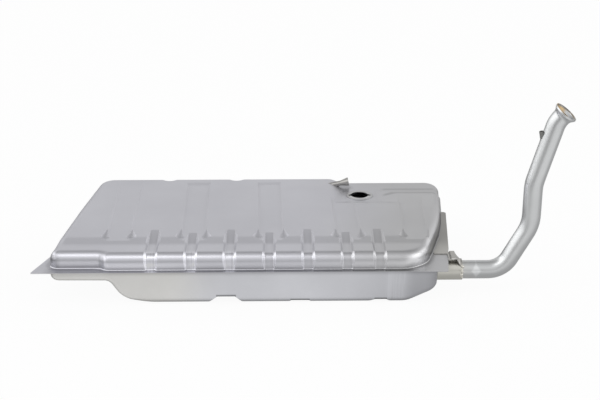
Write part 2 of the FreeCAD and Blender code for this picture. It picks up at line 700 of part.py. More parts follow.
def make_filler_neck():
    corners, aim, mouth = neck_frame()
    last = corners[-2] - corners[-3]
    turn = math.acos(last.normalize().dot(aim))
    last_bend = (NECK_REACH - MOUTH_FLARE - NECK_MOUTH_STRAIGHT) / math.tan(turn / 2)
    short = corners[:-1] + [mouth - aim * MOUTH_FLARE]
    path = rounded_wire(short, (0,) + NECK_BENDS + (last_bend, 0), closed=False)
    outer = pipe_solid(path, NECK_OD / 2, corners[0], X_AXIS)
    inner = pipe_solid(path, NECK_OD / 2 - NECK_WALL, corners[0], X_AXIS)
    neck = outer.fuse(mouth_revolve(False, aim, mouth))
    neck = neck.cut(inner.fuse(mouth_revolve(True, aim, mouth)))
    start, direction = neck_nipple_axis()
    return neck.cut(Part.makeCylinder(NECK_NIPPLE_OD / 2, NECK_NIPPLE_LENGTH, start, direction))


def make_neck_nipple():
    start, direction = neck_nipple_axis()
    stub = Part.makeCylinder(NECK_NIPPLE_OD / 2, NECK_NIPPLE_LENGTH, start, direction)
    stub = stub.cut(Part.makeCylinder(NECK_NIPPLE_BORE / 2, NECK_NIPPLE_LENGTH, start, direction))
    return stub


def make_spud():
    """Collar soldered to the lower shell; its inner end follows the wall."""
    start = Vector(RIGHT_FRONT_X - 10.0, NECK_Y, NECK_Z)
    length = SPUD_END_X - start.x
    collar = Part.makeCylinder(SPUD_OD / 2, length, start, X_AXIS)
    collar = collar.cut(Part.makeCylinder(NECK_OD / 2 + SOLDER_GAP, length, start, X_AXIS))
    return collar.cut(lower_form(0.0))


def make_cap_sleeve():
    """Sleeve with two cam notches that the filler cap turns into."""
    _, aim, mouth = neck_frame()
    outside = NECK_OD / 2 - NECK_WALL - SOLDER_GAP
    top = -MOUTH_FLARE * 0.72 + 3.0
    wire = rounded_wire(
        [Vector(SLEEVE_BORE / 2, 0, top - SLEEVE_WALL), Vector(outside - SLEEVE_WALL, 0, top - SLEEVE_WALL),
         Vector(outside - SLEEVE_WALL, 0, top - SLEEVE_LENGTH), Vector(outside, 0, top - SLEEVE_LENGTH),
         Vector(outside, 0, top), Vector(SLEEVE_BORE / 2, 0, top)],
        [0, 0, 0, 0, 0, 0])
    sleeve = Part.Face(wire).revolve(Vector(0, 0, 0), Z_AXIS, 360)
    for side in (0, 180):
        notch = Part.makeBox(outside - SLEEVE_WALL, SLEEVE_NOTCH, 4 * SLEEVE_WALL,
                             Vector(0, -SLEEVE_NOTCH / 2, top - 2 * SLEEVE_WALL))
        notch.rotate(Vector(0, 0, 0), Z_AXIS, side)
        sleeve = sleeve.cut(notch)
    sleeve.Placement = FreeCAD.Placement(mouth, FreeCAD.Rotation(Z_AXIS, aim))
    return sleeve


def nipple_start():
    tilt = math.radians(TANK_NIPPLE_TILT)
    direction = Vector(math.cos(tilt), 0, math.sin(tilt))
    land = SEAM_Z + LAND_RISE
    base = Vector(RECESS_LEFT_X + RECESS_FLANK * 0.25, TANK_NIPPLE_Y, land - RECESS_DROP * 0.25)
    return base, direction


def nipple_envelope():
    base, direction = nipple_start()
    return Part.makeCylinder(TANK_NIPPLE_OD / 2, TANK_NIPPLE_LENGTH + TANK_NIPPLE_INSIDE,
                             base - direction * TANK_NIPPLE_INSIDE, direction)


def make_tank_nipple():
    """Vent nipple with a belled end, brazed through the flank of the recess."""
    base, direction = nipple_start()
    outer = TANK_NIPPLE_OD / 2
    bell = TANK_NIPPLE_FLARE / 2
    wire = rounded_wire(
        [Vector(TANK_NIPPLE_BORE / 2, 0, -TANK_NIPPLE_INSIDE), Vector(outer, 0, -TANK_NIPPLE_INSIDE),
         Vector(outer, 0, TANK_NIPPLE_LENGTH * 0.45), Vector(bell, 0, TANK_NIPPLE_LENGTH - 2.0),
         Vector(bell, 0, TANK_NIPPLE_LENGTH), Vector(bell - 1.4, 0, TANK_NIPPLE_LENGTH),
         Vector(TANK_NIPPLE_BORE / 2, 0, TANK_NIPPLE_LENGTH * 0.55)],
        [0, 0, 16.0, 0, 0, 0, 16.0])
    nipple = Part.Face(wire).revolve(Vector(0, 0, 0), Z_AXIS, 360)
    nipple.Placement = FreeCAD.Placement(base, FreeCAD.Rotation(Z_AXIS, direction))
    return nipple


def arm_section(x, drop_front, drop_back, low):
    """Section of the bracket's arm: arched over the neck's axis, flat where the drops are nil."""
    front = NECK_Y - BRACKET_ARM_FRONT
    back = NECK_Y + BRACKET_ARM_BACK
    lines = []
    for z in (low, low + BRACKET_SHEET):
        ends = [Vector(x, front, z - drop_front), Vector(x, back, z - drop_back)]
        if drop_front > 0:
            lines.append(Part.Arc(ends[0], Vector(x, NECK_Y, z), ends[1]).toShape())
        else:
            lines.append(Part.LineSegment(ends[0], ends[1]).toShape())
    under, over = lines
    side_back = Part.LineSegment(under.Vertexes[-1].Point, over.Vertexes[-1].Point).toShape()
    side_front = Part.LineSegment(over.Vertexes[0].Point, under.Vertexes[0].Point).toShape()
    return Part.Wire(Part.__sortEdges__([under, side_back, over, side_front]))


def make_neck_bracket():
    """Strip on the rim with an arched arm that comes down to a saddle on the spud."""
    z = SEAM_Z + SHEET
    front = NECK_Y - BRACKET_ARM_FRONT
    back = NECK_Y + BRACKET_ARM_BACK
    rail_slope = (rail_back_x() - PANEL_BACK_X) / (RAIL_BACK_Y - PANEL_BACK_Y)
    strip_end_x = PANEL_BACK_X + rail_slope * (BRACKET_BACK_Y - PANEL_BACK_Y)
    strip = rounded_wire(
        [Vector(BRACKET_LEG_X, BRACKET_FRONT_Y, z), Vector(BRACKET_TONGUE_X, BRACKET_FRONT_Y, z),
         Vector(BRACKET_TONGUE_X, front, z), Vector(BRACKET_BEND_X, front, z),
         Vector(BRACKET_BEND_X, back, z),
         Vector(PANEL_BACK_X + 1.5, back + 24.0, z),
         Vector(strip_end_x, BRACKET_BACK_Y, z), Vector(BRACKET_LEG_X, BRACKET_BACK_Y, z)],
        [0, 0, 0, 0, 0, 30.0, 8.0, 0])
    plate = extruded(strip, Vector(0, 0, BRACKET_SHEET))
    plate = plate.cut(drafted_block(-ROOT_RADIUS, SEAM_Z, SEAM_Z + 10.0, 0.0))
    plate = max(plate.Solids, key=lambda solid: solid.Volume)
    radius = SPUD_OD / 2
    low = NECK_Z + radius
    drops = []
    for reach in (BRACKET_ARM_FRONT, BRACKET_ARM_BACK):
        drops.append(radius - math.sqrt(radius * radius - reach * reach))
    flat = arm_section(BRACKET_BEND_X, 0.0, 0.0, z)
    raised = arm_section(BRACKET_STEP_X, 0.0, 0.0, z + BRACKET_STEP)
    level = arm_section(BRACKET_ARM_X, 0.0, 0.0, z + BRACKET_STEP)
    bent = arm_section(BRACKET_SADDLE_X, drops[0], drops[1], low)
    sections = [flat, raised, level, bent]
    bends = [Part.makeLoft(list(pair), True, True) for pair in zip(sections, sections[1:])]
    saddle = extruded(bent, Vector(BRACKET_SADDLE_END_X - BRACKET_SADDLE_X, 0, 0))
    bracket = plate.fuse(bends + [saddle])
    spud = Part.makeCylinder(radius, 100.0, Vector(BRACKET_BEND_X - 50.0, NECK_Y, NECK_Z), X_AXIS)
    return bracket.cut(spud)


def make_baffle(x, height):
    """Pressed cross baffle with a welded foot and flanged holes."""
    floor = SHEET
    half = BAFFLE_FOOT_HALF
    wire = rounded_wire(
        [Vector(x, -half, floor), Vector(x, half, floor), Vector(x, half + 20.0, floor + 45.0),
         Vector(x, half + 20.0, height), Vector(x, -half + BAFFLE_SHOULDER, height),
         Vector(x, -half - 20.0, height - BAFFLE_SHOULDER), Vector(x, -half - 20.0, floor + 45.0)],
        [0, 0, 12.0, 15.0, 15.0, 15.0, 12.0])
    plate = extruded(wire, Vector(BAFFLE_SHEET, 0, 0))
    foot = Part.makeBox(BAFFLE_FOOT, 2 * half, BAFFLE_SHEET, Vector(x, -half, floor))
    plate = plate.fuse(foot)
    for y in (-140.0, 0.0, 140.0):
        centre = Vector(x - 5.0, y, (floor + height) / 2)
        plate = plate.cut(Part.makeCylinder(BAFFLE_HOLE, 20.0, centre, X_AXIS))
    return plate


def make_pot():
    """Open surge pot round the fuel pick-up, welded to the belly floor."""
    centre = Vector(SENDER_X, SENDER_Y, SHEET)
    pot = Part.makeCylinder(POT_RADIUS, POT_HEIGHT, centre)
    pot = pot.cut(Part.makeCylinder(POT_RADIUS - POT_SHEET, POT_HEIGHT, centre + Z_AXIS * POT_SHEET))
    for i in range(3):
        port = Part.makeCylinder(POT_PORT, POT_RADIUS + 5.0, centre + Z_AXIS * (POT_PORT + 4.0), X_AXIS)
        port.rotate(centre, Z_AXIS, 60.0 + 120.0 * i)
        pot = pot.cut(port)
    return pot


def save(shape, name):
    shape.exportStep("parts/" + name + ".step")
    print(name, "solids", len(shape.Solids), "volume", round(shape.Volume), "valid", shape.isValid())


os.makedirs("parts", exist_ok=True)
save(make_upper_shell(), "upper_shell")
save(make_lower_shell(), "lower_shell")
save(make_sender_ring(), "sender_ring")
save(make_filler_neck(), "filler_neck")
save(make_neck_nipple(), "neck_vent_nipple")
save(make_spud(), "filler_spud")
save(make_cap_sleeve(), "cap_sleeve")
save(make_tank_nipple(), "tank_vent_nipple")
save(make_neck_bracket(), "neck_bracket")
save(make_pot(), "surge_pot")
for name, x, height in zip(BAFFLE_NAMES, BAFFLE_X, BAFFLE_HEIGHT):
    save(make_baffle(x, height), name)
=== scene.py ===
import math

import bmesh
import bpy
from mathutils import Matrix


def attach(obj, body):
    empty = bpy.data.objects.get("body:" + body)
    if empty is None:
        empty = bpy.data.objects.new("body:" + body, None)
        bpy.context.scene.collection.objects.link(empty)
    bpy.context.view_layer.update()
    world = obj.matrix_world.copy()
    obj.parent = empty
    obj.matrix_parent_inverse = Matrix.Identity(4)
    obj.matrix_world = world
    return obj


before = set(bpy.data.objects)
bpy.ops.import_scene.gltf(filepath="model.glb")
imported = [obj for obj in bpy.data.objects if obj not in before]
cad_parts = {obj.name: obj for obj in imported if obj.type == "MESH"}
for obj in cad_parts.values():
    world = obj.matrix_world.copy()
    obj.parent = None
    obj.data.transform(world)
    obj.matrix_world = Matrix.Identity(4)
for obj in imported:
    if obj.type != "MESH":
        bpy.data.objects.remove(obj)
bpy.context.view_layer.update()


# Upper shell. One deep-drawn steel pressing with a crowned deck, a fluted front edge and a welded rim.
# It is zinc coated and left unpainted, so it has a satin sheen with soft clouding. The dark line of its
# seam and the lines of its low shelf are painted shade, and its three left flutes have die marks brightened
# by painted highlight.

def feed(socket, value):
    """Link a socket to another one, or set it to a number or a colour."""
    if isinstance(value, bpy.types.NodeSocket):
        socket.id_data.links.new(value, socket)
    else:
        socket.default_value = value


def reckoned(operation, *values):
    """One step of arithmetic on sockets and numbers."""
    tree = next(value.id_data for value in values if isinstance(value, bpy.types.NodeSocket))
    node = tree.nodes.new("ShaderNodeMath")
    node.operation = operation
    for socket, value in zip(node.inputs, values):
        feed(socket, value)
    return node.outputs[0]


def faded(value, limits, levels=(0.0, 1.0), way="SMOOTHSTEP"):
    """Level that goes from the first of two levels to the second between two limits of a value."""
    node = value.id_data.nodes.new("ShaderNodeMapRange")
    node.interpolation_type = way
    feed(node.inputs["Value"], value)
    for name, number in zip(("From Min", "From Max", "To Min", "To Max"), (*limits, *levels)):
        feed(node.inputs[name], number)
    return node.outputs["Result"]


def place_on(tree):
    """Place on the part, in metres from the frame's origin."""
    return tree.nodes.new("ShaderNodeTexCoord").outputs["Object"]


def split(vector):
    """The X, Y and Z of a vector."""
    node = vector.id_data.nodes.new("ShaderNodeSeparateXYZ")
    feed(node.inputs["Vector"], vector)
    return node.outputs


def mottle(place, scale, detail, roughness=0.5):
    """Noise over the sheet, from nil to one."""
    node = place.id_data.nodes.new("ShaderNodeTexNoise")
    feed(node.inputs["Vector"], place)
    feed(node.inputs["Scale"], scale)
    feed(node.inputs["Detail"], detail)
    feed(node.inputs["Roughness"], roughness)
    return node.outputs["Fac"]


def mixed(share, one, two, kind="RGBA"):
    """Mix of two colours, or of two levels."""
    node = share.id_data.nodes.new("ShaderNodeMix")
    node.data_type = kind
    feed(node.inputs["Factor"], share)
    feed(node.inputs["A"], one)
    feed(node.inputs["B"], two)
    return node.outputs["Result"]


def scaled(colour, amount):
    """Colour made brighter or darker by an amount."""
    node = colour.id_data.nodes.new("ShaderNodeVectorMath")
    node.operation = "SCALE"
    feed(node.inputs[0], colour)
    feed(node.inputs["Scale"], amount)
    return node.outputs["Vector"]


def new_group(name, taken, given):
    """Empty node group with the sockets that it takes and gives, named and of a kind."""
    group = bpy.data.node_groups.new(name, "ShaderNodeTree")
    for side, sockets in (("INPUT", taken), ("OUTPUT", given)):
        for label, kind in sockets:
            group.interface.new_socket(label, in_out=side, socket_type=kind)
    return group, group.nodes.new("NodeGroupInput").outputs, group.nodes.new("NodeGroupOutput").inputs


tone_edge_wander = 0.25          # metres that the edge of the right-hand tone wanders along the tank


def coating_group():
    """Clouding, a patchy change to a right-hand tone and fine grain of zinc-coated sheet."""
    colour = "NodeSocketColor"
    number = "NodeSocketFloat"
    group, taken, given = new_group(
        "zinc_coating",
        (("Tone", colour), ("Right Tone", colour), ("Clouding", number),
         ("Roughness", number), ("Right Tone From", number), ("Right Tone To", number)),
        (("Color", colour), ("Roughness", number), ("Height", number)))
    place = place_on(group)
    clouds = mottle(place, scale=5.5, detail=4.0, roughness=0.55)
    tone_edge_noise = mottle(place, scale=2.3, detail=2.0)
    grain = mottle(place, scale=900.0, detail=2.0)

    def swung(source, amount):
        """Noise moved to swing about nil, times an amount."""
        return reckoned("MULTIPLY", reckoned("SUBTRACT", source, 0.5), amount)

    patchy_x = reckoned("MULTIPLY_ADD", tone_edge_noise, tone_edge_wander, split(place)["X"])
    right_share = faded(patchy_x, (taken["Right Tone From"], taken["Right Tone To"]))
    clouding = reckoned("ADD", swung(clouds, taken["Clouding"]), 1.0)
    feed(given["Color"], scaled(mixed(right_share, taken["Tone"], taken["Right Tone"]), clouding))
    cloud_shine = -0.12
    feed(given["Roughness"], reckoned("ADD", taken["Roughness"], swung(clouds, cloud_shine)))
    grain_share = 0.5
    feed(given["Height"], swung(grain, grain_share))
    return group


zinc_coating = coating_group()


def coated_steel(name, tone, right_tone, clouding, roughness, right_tone_span=(-0.5, 0.5)):
    """Satin coated metal that turns from its tone to its right-hand tone along the tank."""
    steel = bpy.data.materials.new(name)
    steel.use_nodes = True
    shader = steel.node_tree.nodes["Principled BSDF"]
    shader.inputs["Metallic"].default_value = 1.0
    coat = steel.node_tree.nodes.new("ShaderNodeGroup")
    coat.node_tree = zinc_coating
    coat.inputs["Tone"].default_value = (*tone, 1)
    coat.inputs["Right Tone"].default_value = (*right_tone, 1)
    coat.inputs["Clouding"].default_value = clouding
    coat.inputs["Roughness"].default_value = roughness
    coat.inputs["Right Tone From"].default_value = right_tone_span[0] + 0.5 * tone_edge_wander
    coat.inputs["Right Tone To"].default_value = right_tone_span[1] + 0.5 * tone_edge_wander
    feed(shader.inputs["Base Color"], coat.outputs["Color"])
    feed(shader.inputs["Roughness"], coat.outputs["Roughness"])
    grain = steel.node_tree.nodes.new("ShaderNodeBump")
    grain.inputs["Strength"].default_value = 0.25
    grain.inputs["Distance"].default_value = 0.0004
    feed(grain.inputs["Height"], coat.outputs["Height"])
    feed(shader.inputs["Normal"], grain.outputs["Normal"])
    return steel


def shaded(steel, mask, gain):
    """Brighten or darken a steel's colour by a gain where a mask says so."""
    steel_colour = steel.node_tree.nodes["Principled BSDF"].inputs["Base Color"]
    before = steel_colour.links[0].from_socket
    feed(steel_colour, scaled(before, reckoned("MULTIPLY_ADD", mask, gain, 1.0)))


def overlap(first, *others):
    """Product of masks, which is what they all cover."""
    covered = first
    for other in others:
        covered = reckoned("MULTIPLY", covered, other)
    return covered


def away_from(value, middle):
    """How far a value is from a middle, on either side."""
    return reckoned("ABSOLUTE", reckoned("SUBTRACT", value, middle))


def streak_band_group():
    """Mask of fine upright streaks in bands that repeat along the tank."""
    number = "NodeSocketFloat"
    group, taken, given = new_group(
        "streak_bands",
        (("First", number), ("Half Pitch", number), ("Half Width", number),
         ("Middle", number), ("Reach", number)),
        (("Mask", number),))
    place = place_on(group)
    along = split(place)
    from_band = reckoned("PINGPONG", reckoned("SUBTRACT", along["X"], taken["First"]), taken["Half Pitch"])
    band_edge = (1.2, 0.7)              # shares of the band's half width
    band = faded(reckoned("DIVIDE", from_band, taken["Half Width"]), band_edge)
    within_reach = reckoned("LESS_THAN", away_from(along["X"], taken["Middle"]), taken["Reach"])
    deck_to_wall_y = (-0.205, -0.235)
    on_front = faded(along["Y"], deck_to_wall_y)
    upright = group.nodes.new("ShaderNodeMapping")
    upright.inputs["Scale"].default_value = (1.0, 0.03, 0.03)
    feed(upright.inputs["Vector"], place)
    streak_edge = (0.22, 0.66)
    streaks = faded(mottle(upright.outputs["Vector"], scale=330.0, detail=2.0), streak_edge)
    feed(given["Mask"], overlap(band, within_reach, on_front, streaks))
    return group


streak_bands = streak_band_group()


def streak_banded(steel, first, half_pitch, half_width, middle, reach, gain):
    """Add bands of fine upright streaks to a steel's colour."""
    marks = steel.node_tree.nodes.new("ShaderNodeGroup")
    marks.node_tree = streak_bands
    for socket, value in zip(marks.inputs, (first, half_pitch, half_width, middle, reach)):
        socket.default_value = value
    shaded(steel, marks.outputs["Mask"], gain)


# Its right-hand tone, darker and less blue, is partly painted shade where the light falls off to the right.
upper_steel = coated_steel(
    "upper_zinc", tone=(0.665, 0.665, 0.71), right_tone=(0.575, 0.575, 0.585),
    clouding=0.10, roughness=0.37, right_tone_span=(0.08, 0.38))
# Die marks on the front of the three left flutes, brightened by painted highlight on the flutes' floors.
streak_banded(upper_steel, first=-0.2746, half_pitch=0.0465, half_width=0.0145,
           middle=-0.18, reach=0.13, gain=0.32)
on_upper = split(place_on(upper_steel.node_tree))

# The seam's dark line is painted shade on the rim before the wall's foot, which steps back at its left end.
wall_step_x = (-0.409, -0.382)
wall_foot_y = (-0.2375, -0.2500)
wall_foot = faded(on_upper["X"], wall_step_x, wall_foot_y, way="LINEAR")
before_wall = reckoned("LESS_THAN", on_upper["Y"], wall_foot)
rim_top_z = 0.0916
on_rim = reckoned("LESS_THAN", on_upper["Z"], rim_top_z)
body_middle_x = -0.075
seam_end = (0.455, 0.41)                # from the body's middle
along_seam = faded(away_from(on_upper["X"], body_middle_x), seam_end, way="LINEAR")
shaded(upper_steel, overlap(before_wall, on_rim, along_seam), gain=-0.42)

# Painted shade darkens the front wall in its step and at both of its ends.
wall_top_z = (0.126, 0.120)
wall_root_z = (0.0920, 0.0935)
on_wall = overlap(faded(on_upper["Z"], wall_top_z), faded(on_upper["Z"], wall_root_z))
step_x = -0.3905
step_width = (0.009, 0.004)
step_y = (-0.205, -0.212)
in_step = overlap(faded(away_from(on_upper["X"], step_x), step_width), faded(on_upper["Y"], step_y))
shaded(upper_steel, overlap(in_step, on_wall), gain=-0.30)
left_end_x = (-0.484, -0.508)
left_end_y = (-0.15, -0.19)
left_end = overlap(faded(on_upper["X"], left_end_x), faded(on_upper["Y"], left_end_y))
shaded(upper_steel, overlap(left_end, on_wall), gain=-0.45)
right_end_x = (0.370, 0.390)
shaded(upper_steel, overlap(faded(on_upper["X"], right_end_x), on_wall), gain=-0.36)

# A painted glint lies on the pressed edge at the front right-hand corner.
corner_x = 0.349
glint_width = (0.028, 0.008)
glint_top_z = (0.126, 0.118)
glint_foot_z = (0.100, 0.108)
glint_y = (-0.195, -0.210)
at_corner = faded(away_from(on_upper["X"], corner_x), glint_width)
on_edge = overlap(faded(on_upper["Z"], glint_top_z), faded(on_upper["Z"], glint_foot_z))
shaded(upper_steel, overlap(at_corner, on_edge, faded(on_upper["Y"], glint_y)), gain=0.28)

# Painted highlight brightens the wall's foot, most of all at the left.
foot_top_z = (0.113, 0.099)
foot_y = (-0.210, -0.225)
foot_root_z = (0.0914, 0.0924)
left_to_right_x = (-0.26, -0.12)
left_to_right_gain = (0.38, 0.16)
below_foot_top = faded(on_upper["Z"], foot_top_z)
at_foot = overlap(below_foot_top, faded(on_upper["Y"], foot_y), faded(on_upper["Z"], foot_root_z))
shaded(upper_steel, overlap(at_foot, faded(on_upper["X"], left_to_right_x, left_to_right_gain)), gain=1.0)


def hollows(steel, reach, openness, way="SMOOTHSTEP"):
    """Mask of the places that other surfaces within reach close in."""
    surroundings = steel.node_tree.nodes.new("ShaderNodeAmbientOcclusion")
    surroundings.inputs["Distance"].default_value = reach
    surroundings.samples = 8
    return faded(surroundings.outputs["AO"], openness, way=way)


# Painted shade darkens the hollows, except on the rear left of the deck.
past_left_x = (-0.30, -0.20)
front_y = (-0.09, -0.11)
right_or_front = reckoned("MAXIMUM", faded(on_upper["X"], past_left_x), faded(on_upper["Y"], front_y))
upper_hollows = hollows(upper_steel, reach=0.016, openness=(0.985, 0.80))
shaded(upper_steel, overlap(upper_hollows, right_or_front), gain=-0.28)

# Two lines of painted shade mark the low shelf to the right of the sender's recess.
shelf_left_x = (0.296, 0.312)
shelf_right_x = (0.448, 0.436)
on_shelf = overlap(faded(on_upper["X"], shelf_left_x), faded(on_upper["X"], shelf_right_x))
line_width = (0.012, 0.0024)
for line_y, line_gain in ((0.181, -0.17), (0.130, -0.24)):
    on_line = faded(away_from(on_upper["Y"], line_y), line_width)
    shaded(upper_steel, overlap(on_line, on_shelf), line_gain)


def dressed(node, coat):
    """Give a CAD node its material."""
    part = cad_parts[node]
    part.data.materials.clear()
    part.data.materials.append(coat)


dressed("upper_shell", upper_steel)


# Lower shell. The deeper pressing under the seam, with its belly, step and strap groove.
# It is of the same coated sheet and welded to the upper shell at the rim. It has a faint band of brighter
# upright streaks near its right end, and painted shade darkens its hollows and grooves, under the rim and
# at its right.

lower_steel = coated_steel(
    "lower_zinc", tone=(0.645, 0.64, 0.625), right_tone=(0.60, 0.605, 0.635),
    clouding=0.24, roughness=0.42, right_tone_span=(-0.26, -0.08))
# A faint band of brighter upright streaks lies near its right end.
streak_banded(lower_steel, first=0.306, half_pitch=5.0, half_width=0.024,
           middle=0.306, reach=0.2, gain=0.10)
# Painted shade darkens the hollows.
lower_hollows = hollows(lower_steel, reach=0.018, openness=(0.95, 0.45), way="LINEAR")
shaded(lower_steel, lower_hollows, gain=-0.42)
on_lower = split(place_on(lower_steel.node_tree))
# Painted shade lies along the ceilings of the strap groove and the two short grooves.
unshaded_above = 0.006                  # both from a groove's ceiling
shaded_above = 0.002
strap_groove = (-0.0985, 0.0235, 0.019)
short_grooves = ((0.078, 0.023, 0.007), (0.271, 0.015, 0.009))
for groove_x, half_width, ceiling_z in (strap_groove, *short_grooves):
    in_groove = reckoned("COMPARE", on_lower["X"], groove_x, half_width)
    at_ceiling = faded(on_lower["Z"], (ceiling_z + unshaded_above, ceiling_z + shaded_above), way="LINEAR")
    shaded(lower_steel, overlap(in_groove, at_ceiling), gain=-0.65)
# Painted shade lies under the rim.
under_rim_z = (0.074, 0.086)
past_shallow_x = (-0.40, -0.36)
under_rim = overlap(faded(on_lower["Z"], under_rim_z), faded(on_lower["X"], past_shallow_x))
shaded(lower_steel, under_rim, gain=-0.20)
# Painted shade darkens the right end.
lower_right_x = (0.322, 0.352)
shaded(lower_steel, faded(on_lower["X"], lower_right_x), gain=-0.14)
dressed("lower_shell", lower_steel)


# Sender ring. The level sender locks into this ring, which is stamped from coated sheet with a raised
# lip and two bayonet notches, and welded on the floor of the recess.

ring_steel = coated_steel(
    "ring_zinc", tone=(0.50, 0.50, 0.52), right_tone=(0.60, 0.60, 0.60), clouding=0.06, roughness=0.36)
dressed("sender_ring", ring_steel)


# Baffles and surge pot. The baffles slow the fuel's swash, and the pot keeps fuel at the pick-up.
# They are plain pressed sheet, duller than the outside, welded inside and only seen through the openings.

inner_steel = coated_steel(
    "inner_zinc", tone=(0.45, 0.45, 0.46), right_tone=(0.45, 0.44, 0.42), clouding=0.08, roughness=0.5)
for node in ("baffle_left", "baffle_centre", "baffle_right", "surge_pot"):
    dressed(node, inner_steel)


# Filler neck. Drawn and coated steel tube, bent in four places, flared at its mouth and soldered into
# the spud. It has a painted highlight in a lozenge on its level run and a tan coat on the upper half of the
# flare's inside.

neck_steel = coated_steel(
    "neck_zinc", tone=(0.645, 0.65, 0.64), right_tone=(0.645, 0.655, 0.66),
    clouding=0.30, roughness=0.36, right_tone_span=(0.50, 0.54))
on_neck = place_on(neck_steel.node_tree)


def along_direction(vector, direction):
    """How far a vector reaches along a direction."""
    node = vector.id_data.nodes.new("ShaderNodeVectorMath")
    node.operation = "DOT_PRODUCT"
    feed(node.inputs[0], vector)
    node.inputs[1].default_value = direction
    return node.outputs["Value"]


# A painted highlight in a lozenge on the neck's level run.
lozenge_place = neck_steel.node_tree.nodes.new("ShaderNodeMapping")
lozenge_place.inputs["Scale"].default_value = (87.0, 0.0, 59.0)
lozenge_place.inputs["Location"].default_value = (-43.8, 0.0, -3.7)
feed(lozenge_place.inputs["Vector"], on_neck)
from_lozenge = neck_steel.node_tree.nodes.new("ShaderNodeVectorMath")
from_lozenge.operation = "ABSOLUTE"
feed(from_lozenge.inputs[0], lozenge_place.outputs["Vector"])
x_and_z = (1.0, 0.0, 1.0)
lozenge_edge = (1.30, 0.60)
lozenge_highlight = faded(along_direction(from_lozenge.outputs["Vector"], x_and_z), lozenge_edge)
shaded(neck_steel, lozenge_highlight, gain=0.30)

mouth_axis = (0.594, -0.094, 0.799)
facing_out = (0.10, 0.30)
up_the_mouth = (-0.79, 0.125, 0.60)
mouth_middle = (-0.305, -0.293)         # along that direction
mouth_z = 0.435
tan_coat = (0.52, 0.39, 0.23, 1)
tube_normal = neck_steel.node_tree.nodes.new("ShaderNodeNewGeometry").outputs["Normal"]
inner_flare = faded(along_direction(tube_normal, mouth_axis), facing_out)
upper_half = faded(along_direction(on_neck, up_the_mouth), mouth_middle)
at_mouth = reckoned("GREATER_THAN", split(on_neck)["Z"], mouth_z)
neck_colour = neck_steel.node_tree.nodes["Principled BSDF"].inputs["Base Color"]
bare_colour = neck_colour.links[0].from_socket
feed(neck_colour, mixed(overlap(inner_flare, upper_half, at_mouth), bare_colour, tan_coat))
dressed("filler_neck", neck_steel)


# Filler spud and the solder on it. The spud is the steel collar at the tank's right end that takes the
# neck, soldered to the lower shell, with a coat of solder that is warmer than zinc.
# The bright beads are the solder's short run where the bracket's arm ends on the spud.

spud_steel = coated_steel(
    "spud_solder", tone=(0.655, 0.655, 0.63), right_tone=(0.645, 0.635, 0.585), clouding=0.30, roughness=0.40)
dressed("filler_spud", spud_steel)

solder_bright = coated_steel(
    "solder_bright", tone=(0.80, 0.79, 0.75), right_tone=(0.76, 0.74, 0.68), clouding=0.30, roughness=0.30)
arm_end_x = 0.4685
spud_y = -0.18
spud_z = 0.058
spud_radius = 0.0252
bead_count = 9
first_turn = 44.0           # degrees from the spud's top towards the front
turn_pitch = 9.0
bead_radius = 0.0020
radius_swing = 0.0008
radius_wave = 2.3           # radians for each bead
place_swing = 0.0016
place_wave = 1.7
bead_shape = Matrix.Diagonal((1.6, 1.0, 1.3, 1.0))
beads = bmesh.new()
for number in range(bead_count):
    turn = math.radians(first_turn + turn_pitch * number)
    bead_x = arm_end_x + place_swing * math.sin(place_wave * number)
    bead_y = spud_y - spud_radius * math.sin(turn)
    bead_z = spud_z + spud_radius * math.cos(turn)
    bead_place = Matrix.Translation((bead_x, bead_y, bead_z)) @ bead_shape
    bead_size = bead_radius + radius_swing * math.sin(radius_wave * number)
    bmesh.ops.create_icosphere(beads, subdivisions=2, radius=bead_size, matrix=bead_place)
for face in beads.faces:
    face.smooth = True
bead_data = bpy.data.meshes.new("arm_solder")
beads.to_mesh(bead_data)
beads.free()
bead_data.materials.append(solder_bright)
arm_solder = bpy.data.objects.new("arm_solder", bead_data)
bpy.context.scene.collection.objects.link(arm_solder)
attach(arm_solder, "root")


# Cap sleeve. A thin pressed sleeve of brass with cam notches that the filler cap turns into.
# It is pushed into the mouth and has dulled to tan.

sleeve_brass = coated_steel(
    "sleeve_yellow", tone=(0.58, 0.43, 0.26), right_tone=(0.52, 0.38, 0.22), clouding=0.25, roughness=0.50)
dressed("cap_sleeve", sleeve_brass)


# Vent nipples. Short steel tubes for the vent hoses, one brazed through the flank of the recess and
# one brazed into the neck, which is the darker of the two.

nipple_steel = coated_steel(
    "nipple_zinc", tone=(0.46, 0.46, 0.46), right_tone=(0.44, 0.43, 0.41), clouding=0.30, roughness=0.38)
dressed("tank_vent_nipple", nipple_steel)
# The neck's nipple is given a darker tone than the tank's.
darker_nipple_steel = coated_steel(
    "nipple_dark", tone=(0.27, 0.27, 0.26), right_tone=(0.25, 0.25, 0.24), clouding=0.30, roughness=0.42)
dressed("neck_vent_nipple", darker_nipple_steel)


# Neck bracket. A folded strip of coated steel welded on the rim, with an arm that comes down on the
# spud and is soldered to it. Painted shade darkens the strip behind the arm.

bracket_steel = coated_steel(
    "bracket_zinc", tone=(0.50, 0.50, 0.505), right_tone=(0.50, 0.49, 0.465), clouding=0.25, roughness=0.36)
on_bracket = split(place_on(bracket_steel.node_tree))
# Painted shade behind the arm.
behind_arm_y = (-0.15, -0.06)
shaded(bracket_steel, faded(on_bracket["Y"], behind_arm_y), gain=-0.32)
dressed("neck_bracket", bracket_steel)


# Studio. A white paper floor that keeps a faint shadow and is mirrored by the metal in graded whites,
# a graded light room with a bright panel at either end, and one softbox above the front left.
# The camera itself sees the room as a white backdrop.

